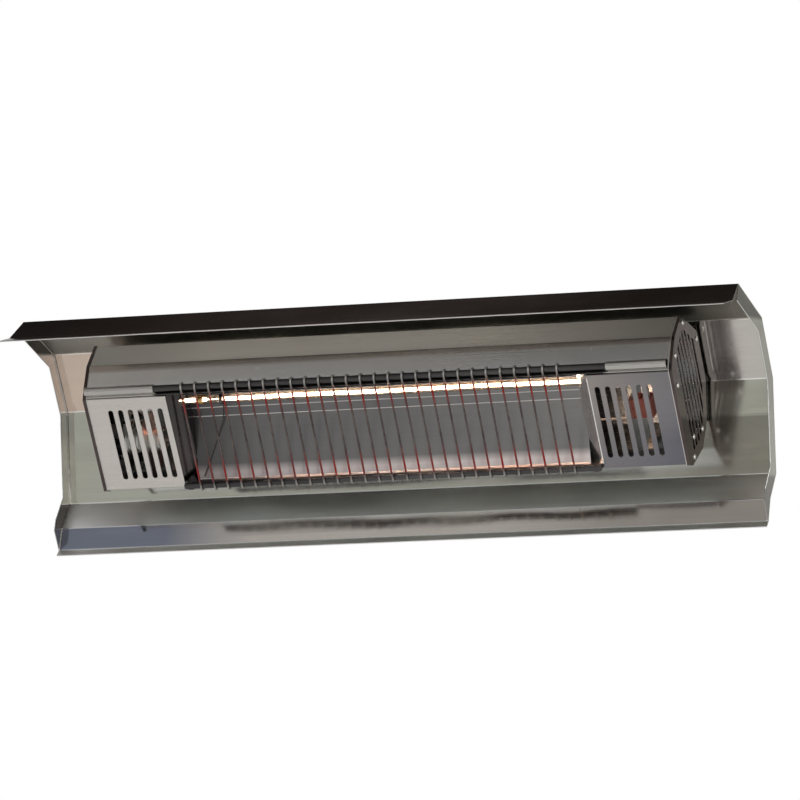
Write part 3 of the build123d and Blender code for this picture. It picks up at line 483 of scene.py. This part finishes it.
# A node takes the first material whose key its name starts with.
DRESS = {
    "hood_shell": HOOD, "hood_end_flange": FLANGE,
    "heater_top_cover": COVER, "heater_back_cover": COVER,
    "heater_top_rail": RAIL, "heater_bottom_rail": RODS,
    "vent_panel_left": VENT, "vent_panel_right": VENT_SHADED,
    "opening_reveal_left": REVEAL, "opening_reveal_right": REVEAL_LIGHT,
    "reflector": REFLECT, "end_frame": PLATED, "end_cap_screws": SCREW, "end_cap": CAP,
    "heater_bracket": PLATED, "bay_plate": PLATED, "lamp_holder": PLATED,
    "bracket_rivets": SCREW, "heater_fixing": SCREW,
    "guard_wires": WIRE, "guard_": RODS, "hinge_barrel": BARREL,
    "lamp_support": CLIP, "quartz_tube": QUARTZ, "filament": GLOW, "lamp_ceramic": CERAMIC,
    "terminal_block": REDBLOCK, "terminal_screws": BRASS, "overheat": REDBLOCK,
    "lead_conduit": PLATED, "switch": NYLON, "cable_gland": NYLON, "gland_": NYLON,
    "lamp_lead": SILICONE, "return_lead": SILICONE, "supply_lead": SILICONE,
}


def put(obj, mat):
    obj.data.materials.clear()
    obj.data.materials.append(mat)


for name, obj in nodes.items():
    put(obj, next(mat for start, mat in DRESS.items() if name.startswith(start)))

# ---------------------------------------------------------------- making pieces


def add(name, data, mat, body):
    obj = bpy.data.objects.new(name, data)
    data.materials.append(mat)
    scene.collection.objects.link(obj)
    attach(obj, body)
    return obj


def bars(name, runs, radius, mat, body, replaces=(), smooth=6, cyclic=False):
    """Round bars along lists of points (x, y, z[, relative thickness]), as one piece."""
    data = bpy.data.curves.new(name, "CURVE")
    data.dimensions = "3D"
    data.bevel_depth = radius
    data.bevel_resolution = smooth
    data.use_fill_caps = True
    for points in runs:
        spline = data.splines.new("POLY")
        spline.points.add(len(points) - 1)
        for point, place in zip(spline.points, points):
            point.co = (*place[:3], 1)
            point.radius = place[3] if len(place) > 3 else 1.0
        spline.use_cyclic_u = cyclic
        spline.use_smooth = True
    obj = add(name, data, mat, body)
    if replaces:
        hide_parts(*replaces)


def solid(name, verts, faces, mat, body, smooth=True):
    """A closed mesh with its faces turned outward."""
    data = bpy.data.meshes.new(name)
    data.from_pydata(verts, [], faces)
    data.validate()
    shape = bmesh.new()
    shape.from_mesh(data)
    bmesh.ops.recalc_face_normals(shape, faces=shape.faces)
    shape.to_mesh(data)
    shape.free()
    for poly in data.polygons:
        poly.use_smooth = smooth
    add(name, data, mat, body)


def circle(steps):
    return [2 * math.pi * k / steps for k in range(steps)]


rng = random.Random(7)

# ---------------------------------------------------------------- guard wires

WIRE_COUNT = 28
WIRE_R = 0.0015
TOP_WRAP = math.radians(215)
BOTTOM_WRAP = math.radians(118)
TOP_STEPS, FRONT_STEPS, BOTTOM_STEPS = 28, 24, 22
TOP_TIP, BOTTOM_TIP = 0.75, 0.8  # the sheared ends are thinner than the wire

top_rod = centre("guard_top_rod")
low_rod = centre("guard_bottom_rod")
top_rod_low, top_rod_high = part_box("guard_top_rod")
wrap_r = (top_rod_high.z - top_rod_low.z) / 2 + WIRE_R
lean = math.atan2(low_rod.z - top_rod.z, low_rod.y - top_rod.y) - math.pi / 2
wires_low, wires_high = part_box("guard_wires")
first_x = wires_low.x + WIRE_R
wire_pitch = (wires_high.x - wires_low.x - 2 * WIRE_R) / (WIRE_COUNT - 1)


def on_rod(rod, x, angle, thick=1.0):
    """A point of a wire that lies against a rod."""
    return (x, rod.y + wrap_r * math.cos(angle), rod.z + wrap_r * math.sin(angle), thick)


def guard_wire(x, bow, slip, top_turn, bottom_turn):
    """Hooked over the top rod, down the front, curled under the bottom rod."""
    points = []
    for k in range(TOP_STEPS + 1):
        angle = lean - top_turn + top_turn * k / TOP_STEPS
        points.append(on_rod(top_rod, x, angle, 1.0 if k else TOP_TIP))
    _, high_y, high_z, _ = points[-1]
    _, low_y, low_z, _ = on_rod(low_rod, x, lean)
    for k in range(1, FRONT_STEPS):
        t = k / FRONT_STEPS
        sideways = slip * t + bow * math.sin(math.pi * t)
        points.append((x + sideways, high_y + (low_y - high_y) * t, high_z + (low_z - high_z) * t))
    for k in range(BOTTOM_STEPS + 1):
        angle = lean + bottom_turn * k / BOTTOM_STEPS
        points.append(on_rod(low_rod, x + slip, angle, 1.0 if k < BOTTOM_STEPS else BOTTOM_TIP))
    return points


wires = []
for i in range(WIRE_COUNT):
    bow = rng.uniform(-0.0004, 0.0004)
    slip = rng.uniform(-0.0005, 0.0005) if 0 < i < WIRE_COUNT - 1 else 0.0
    top_turn = TOP_WRAP + rng.uniform(-0.06, 0)
    bottom_turn = BOTTOM_WRAP + rng.uniform(-0.08, 0)
    wires.append(guard_wire(first_x + wire_pitch * i, bow, slip, top_turn, bottom_turn))
bars("guard_wires_drawn", wires, WIRE_R, WIRE, "guard", ["guard_wires"])

# ---------------------------------------------------------------- lamp

tube = centre("quartz_tube")
tube_low, tube_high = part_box("quartz_tube")

# A wound filament, drawn straight where the tube is held, with plain tails into the tube's ends.
COIL_R, COIL_WIRE, COIL_PITCH, COIL_STEPS = 0.0023, 0.00055, 0.0021, 10
COIL_SAG, SAG_TURNS = 0.0004, 19.0
HELD_FROM, HELD_TO = -0.268, -0.242
HELD_R, HELD_THICK = 0.0002, 0.5
TAIL_END = 0.001
coil_from, coil_to = tube_low.x + 0.049, tube_high.x - 0.042
coil_turns = int((coil_to - coil_from) / COIL_PITCH)

coil = [(tube_low.x + TAIL_END, tube.y, tube.z)]
for k in range(coil_turns * COIL_STEPS + 1):
    x = coil_from + COIL_PITCH * k / COIL_STEPS
    held = HELD_FROM < x < HELD_TO
    r = HELD_R if held else COIL_R
    a = 2 * math.pi * k / COIL_STEPS
    sag = COIL_SAG * math.sin(k / COIL_STEPS / SAG_TURNS)
    thick = HELD_THICK if held else 1.0
    coil.append((x, tube.y + r * math.cos(a), tube.z + r * math.sin(a) - sag, thick))
coil.append((tube_high.x - TAIL_END, tube.y, tube.z))
bars("lamp_coil", [coil], COIL_WIRE, GLOW, "housing", ["filament"], 2)

# Small rings hold the coil off the quartz.
RING_COUNT, RING_R, RING_WIRE, RING_WARP, RING_STEPS = 11, 0.0048, 0.00035, 0.0006, 20
rings = []
for i in range(1, RING_COUNT + 1):
    x = coil_from + (coil_to - coil_from) * i / (RING_COUNT + 1)
    rings.append([
        (x + RING_WARP * math.sin(3 * a), tube.y + RING_R * math.cos(a), tube.z + RING_R * math.sin(a))
        for a in circle(RING_STEPS)
    ])
bars("lamp_coil_rings", rings, RING_WIRE, PLATED, "housing", (), 2, True)

# Gold heat-reflecting bands near the tube's two ends.
BAND_LENGTH, BAND_R, BAND_CROWN, BAND_BORE_R = 0.010, 0.00668, 0.00022, 0.00658
BAND_STATIONS, BAND_SIDES = 9, 28
for side, outer_x, inward in (("left", tube_low.x + 0.068, 1), ("right", tube_high.x - 0.008, -1)):
    section = []
    for i in range(BAND_STATIONS):
        t = i / (BAND_STATIONS - 1)
        section.append((inward * BAND_LENGTH * t, BAND_R + BAND_CROWN * math.sin(math.pi * t)))
    section += [(inward * BAND_LENGTH, BAND_BORE_R), (0.0, BAND_BORE_R)]
    verts, faces = [], []
    for i, (along_x, r) in enumerate(section):
        j = (i + 1) % len(section)
        for k, a in enumerate(circle(BAND_SIDES)):
            verts.append((outer_x + along_x, tube.y + r * math.cos(a), tube.z + r * math.sin(a)))
            m = (k + 1) % BAND_SIDES
            faces.append((i * BAND_SIDES + k, i * BAND_SIDES + m, j * BAND_SIDES + m, j * BAND_SIDES + k))
    solid("lamp_band_" + side, verts, faces, GOLD, "housing")

# ---------------------------------------------------------------- long edges of the hood

RIM_R = 0.0007
RIM_INSET = 0.0006
LIP_EDGE = (-0.2358, 0.1650)
FOOT_EDGE = (-0.0557, -0.1450)
EDGE_STEPS = 60
EDGE_WAVE = 0.0001


def long_edge(half, place, turn):
    """The line of a bright rim along the hood, a painted edge highlight, between -half and half, very
    slightly uneven.
    """
    y, z = place
    return [(half * (2 * k / EDGE_STEPS - 1), y, z + EDGE_WAVE * math.sin(k * turn))
            for k in range(EDGE_STEPS + 1)]


# Rolled rims along the lip and the foot, drawn bright: painted highlights.
bars("hood_rim_rolls", [
    long_edge(HOOD_HALF + LIP_FLARE - RIM_INSET, LIP_EDGE, 1.7),
    long_edge(HOOD_HALF - RIM_INSET, FOOT_EDGE, 2.1),
], RIM_R, EDGE_HIGHLIGHT, "housing")

# ---------------------------------------------------------------- mouth of the heater

# Gussets close the mouth's lower corners: tapered plates from its front edge back along the reveal.
MOUTH_X, WALL_X = 0.3215, 0.3018
GUSSET_U, GUSSET_SHEET = 0.0062, 0.0007
GUSSET_FRONT, GUSSET_BACK = 0.0014, 0.0183
GUSSET_STEPS, GUSSET_TAPER = 12, 0.99
# The left gusset is drawn in the bright edge steel, a painted highlight.
for side, sign, mat in (("left", -1, EDGE_HIGHLIGHT), ("right", 1, REVEAL_LIGHT)):
    verts, faces = [], []
    for k in range(GUSSET_STEPS + 1):
        t = k / GUSSET_STEPS
        d = GUSSET_FRONT + (GUSSET_BACK - GUSSET_FRONT) * t
        x = WALL_X + (MOUTH_X - WALL_X) * (1 - GUSSET_TAPER * t)
        low, high = on_face(GUSSET_U, d), on_face(GUSSET_U + GUSSET_SHEET, d)
        verts += [(sign * x, *low), (sign * x, *high), (sign * WALL_X, *high), (sign * WALL_X, *low)]
    for k in range(GUSSET_STEPS):
        for j in range(4):
            a, b = 4 * k + j, 4 * k + (j + 1) % 4
            faces.append((a, b, b + 4, a + 4))
    last = 4 * GUSSET_STEPS
    faces += [(3, 2, 1, 0), (last, last + 1, last + 2, last + 3)]
    solid("mouth_gusset_" + side, verts, faces, mat, "housing", smooth=False)

# The mouth's upright edges: a dark bar of painted shade on the left, a bright bar of painted highlight on
# the right.
UPRIGHT_FOOT, UPRIGHT_LENGTH, UPRIGHT_DEPTH, UPRIGHT_STEPS = 0.007, 0.1365, 0.0005, 30
for side, x, mat, radius in (("left", -0.3218, RODS, 0.0007), ("right", 0.3222, EDGE_HIGHLIGHT, 0.0011)):
    upright = []
    for k in range(UPRIGHT_STEPS + 1):
        u = UPRIGHT_FOOT + UPRIGHT_LENGTH * k / UPRIGHT_STEPS
        upright.append((x, *on_face(u, UPRIGHT_DEPTH)))
    bars("mouth_edge_" + side, [upright], radius, mat, "housing")

# ---------------------------------------------------------------- end flanges


def inset(points, distance):
    """The open polyline moved to its left by distance, mitred at its corners."""
    out = []
    for i, (y, z) in enumerate(points):
        before = points[max(i - 1, 0)]
        after = points[min(i + 1, len(points) - 1)]
        n1 = Vector((before[1] - z, y - before[0])) if i else None
        n2 = Vector((z - after[1], after[0] - y)) if i < len(points) - 1 else None
        n1 = (n1 or n2).normalized()
        n2 = (n2 or n1).normalized()
        middle = (n1 + n2).normalized()
        reach = distance / max(middle.dot(n1), 0.3)
        out.append((y + middle.x * reach, z + middle.y * reach))
    return out


def along(points, steps):
    """The polyline with each of its runs divided into steps."""
    out = []
    for (ya, za), (yb, zb) in zip(points, points[1:]):
        for k in range(steps):
            t = k / steps
            out.append((ya + (yb - ya) * t, za + (zb - za) * t))
    out.append(points[-1])
    return out


def bead(points):
    """The points of a weld, with the swell and shrink of its ripples."""
    return [(*place, 0.75 + 0.35 * abs(math.sin(k * 1.3))) for k, place in enumerate(points)]


FLANGE_REACH = 0.0247  # from the hood's front surface to the middle of the flange's rim
BEAD_R, BEAD_INSET, BEAD_STAND = 0.0008, 0.0011, 0.0012
RIM_STEPS, BEAD_STEPS = 8, 26
rim_line = along(inset(HOOD_LINE, FLANGE_REACH)[1:], RIM_STEPS)
weld_line = along(inset(HOOD_LINE, BEAD_STAND), BEAD_STEPS)
rims, welds = [], []
for end_x, inward in ((-HOOD_HALF + RIM_INSET, 1), (HOOD_HALF - RIM_INSET, -1)):
    rims.append([(end_x, y, z) for y, z in rim_line])
    weld = []
    for y, z in weld_line:
        x = end_x + inward * BEAD_INSET + rng.uniform(-0.0002, 0.0002)
        weld.append((x, y + rng.uniform(-0.0003, 0.0003), z))
    welds.append(weld)
# The flange rims are drawn in the bright edge steel: painted highlights.
bars("flange_rims", rims, RIM_R, EDGE_HIGHLIGHT, "housing")
bars("flange_weld_beads", [bead(weld) for weld in welds], BEAD_R, WELD, "housing", (), 3)

# ---------------------------------------------------------------- studio

# What the metal reflects, from straight below (0) to straight up (1): two bright strips on grey.
SKY = [
    (0.00, (0.24, 0.22, 0.21)),
    (0.12, (0.32, 0.29, 0.27)),
    (0.30, (0.37, 0.34, 0.32)),
    (0.385, (0.37, 0.35, 0.33)),
    (0.42, (1.45, 1.40, 1.35)),
    (0.455, (0.35, 0.35, 0.32)),
    (0.54, (0.33, 0.34, 0.31)),
    (0.60, (0.35, 0.34, 0.33)),
    (0.635, (1.45, 1.45, 1.45)),
    (0.67, (0.34, 0.32, 0.31)),
    (0.85, (0.44, 0.45, 0.46)),
    (1.00, (0.44, 0.44, 0.44)),
]
DARK_PATCH = (0.036, 0.029, 0.027)

world = bpy.data.worlds.new("studio")
scene.world = world
world.use_nodes = True
world_tree = world.node_tree
background = world_tree.nodes["Background"]
direction = node(world_tree, "ShaderNodeTexCoord").outputs["Generated"]
split = node(world_tree, "ShaderNodeSeparateXYZ")
world_tree.links.new(direction, split.inputs[0])
to_x, to_y, to_z = split.outputs
sky = ramp(world_tree, remap(world_tree, to_z, -1.0, 1.0, 0.0, 1.0), SKY)
side_light = remap(world_tree, to_x, -0.7, 0.3, 0.86, 1.12)
sky = mix(world_tree, 1.0, sky, grey(world_tree, side_light), "MULTIPLY")
# A real room is uneven: broad patches of light and shade.
room = node(world_tree, "ShaderNodeTexNoise", Scale=9.0, Detail=2.0, Roughness=0.5)
world_tree.links.new(direction, room.inputs["Vector"])
uneven = remap(world_tree, room.outputs["Fac"], 0.34, 0.66, 0.70, 1.32)
sky = mix(world_tree, 1.0, sky, grey(world_tree, uneven), "MULTIPLY")
# One dark patch, high on the wall's side and a little to the left.
patch_x = hump(world_tree, to_x, -0.60, -0.50, -0.24, -0.17)
patch_y = remap(world_tree, to_y, 0.10, 0.35, 0.0, 1.0)
patch_z = remap(world_tree, to_z, 0.25, 0.5, 0.0, 1.0)
patch = maths(world_tree, "MULTIPLY", maths(world_tree, "MULTIPLY", patch_y, patch_z), patch_x)
sky = mix(world_tree, patch, sky, DARK_PATCH)
# The camera itself sees plain white.
path = node(world_tree, "ShaderNodeLightPath")
sky = mix(world_tree, path.outputs["Is Camera Ray"], sky, PLAIN)
world_tree.links.new(sky, background.inputs["Color"])
background.inputs["Strength"].default_value = 1.0

FLOOR_HALF, FLOOR_Z = 6.0, -1.3
floor_mesh = bpy.data.meshes.new("floor")
floor_corners = [(x * FLOOR_HALF, y * FLOOR_HALF, FLOOR_Z) for x, y in ((-1, -1), (1, -1), (1, 1), (-1, 1))]
floor_mesh.from_pydata(floor_corners, [], [(0, 1, 2, 3)])
floor = bpy.data.objects.new("floor", floor_mesh)
scene.collection.objects.link(floor)
floor_mat, floor_tree, floor_shader = new_material("floor_pale")
floor_colour = mix(floor_tree, noise(floor_tree, (3, 3, 3), 4.0), (0.86, 0.84, 0.82), (0.91, 0.90, 0.88))
floor_tree.links.new(floor_colour, floor_shader.inputs["Base Color"])
floor_tree.links.new(floor_colour, floor_shader.inputs["Emission Color"])
floor_shader.inputs["Emission Strength"].default_value = 0.12
floor_shader.inputs["Roughness"].default_value = 0.8
put(floor, floor_mat)


def area_light(name, place, target, size, power, colour):
    """A rectangular light at place, turned to its target. Its power is in watts."""
    light = bpy.data.lights.new(name, "AREA")
    light.shape = "RECTANGLE"
    light.size, light.size_y = size
    light.energy = power
    light.color = colour
    obj = bpy.data.objects.new(name, light)
    obj.location = place
    obj.rotation_euler = (Vector(target) - Vector(place)).to_track_quat("-Z", "Y").to_euler()
    scene.collection.objects.link(obj)


HEATER = (0, -0.1, 0)
area_light("key", (0.3, -0.8, 3.2), HEATER, (3.2, 1.2), 30, (1.0, 0.98, 0.95))
# The lamp's ends spill warm light into the two wiring bays.
spill_y, spill_z = on_face(0.112, 0.040)
for x, watts, colour in ((-0.352, 0.006, (1.0, 0.34, 0.25)), (0.345, 0.018, (1.0, 0.62, 0.42))):
    target = (x, spill_y + 0.02, spill_z - 0.10)
    area_light("lamp_spill", (x, spill_y, spill_z), target, (0.02, 0.02), watts, colour)
area_light("fill", (2.6, -1.2, 0.2), HEATER, (1.2, 1.2), 8, (0.95, 0.97, 1.0))

# ---------------------------------------------------------------- camera

AZIMUTH, ELEVATION, ROLL = math.radians(19.98), math.radians(-2.473), math.radians(-1.8835)
LENS = 306.5
DISTANCE = 9.8848
SLIDE_ACROSS, SLIDE_UP = 0.003788, -0.051758
aim = Vector((0, -0.0512, 0.0085))
back = Vector((
    math.sin(AZIMUTH) * math.cos(ELEVATION),
    -math.cos(AZIMUTH) * math.cos(ELEVATION),
    math.sin(ELEVATION),
))
level = Vector((math.cos(AZIMUTH), math.sin(AZIMUTH), 0))
unrolled_up = back.cross(level)
across = level * math.cos(ROLL) + unrolled_up * math.sin(ROLL)
up = unrolled_up * math.cos(ROLL) - level * math.sin(ROLL)
place = aim + back * DISTANCE - across * SLIDE_ACROSS - up * SLIDE_UP
camera_data = bpy.data.cameras.new("camera")
camera_data.lens = LENS
camera_data.sensor_width = 36.0
camera_data.clip_start = 0.1
camera_data.clip_end = 100
camera = bpy.data.objects.new("camera", camera_data)
scene.collection.objects.link(camera)
turned = Matrix((across, up, back)).transposed().to_4x4()
camera.matrix_world = Matrix.Translation(place) @ turned
scene.camera = camera
scene.view_settings.view_transform = "Standard"
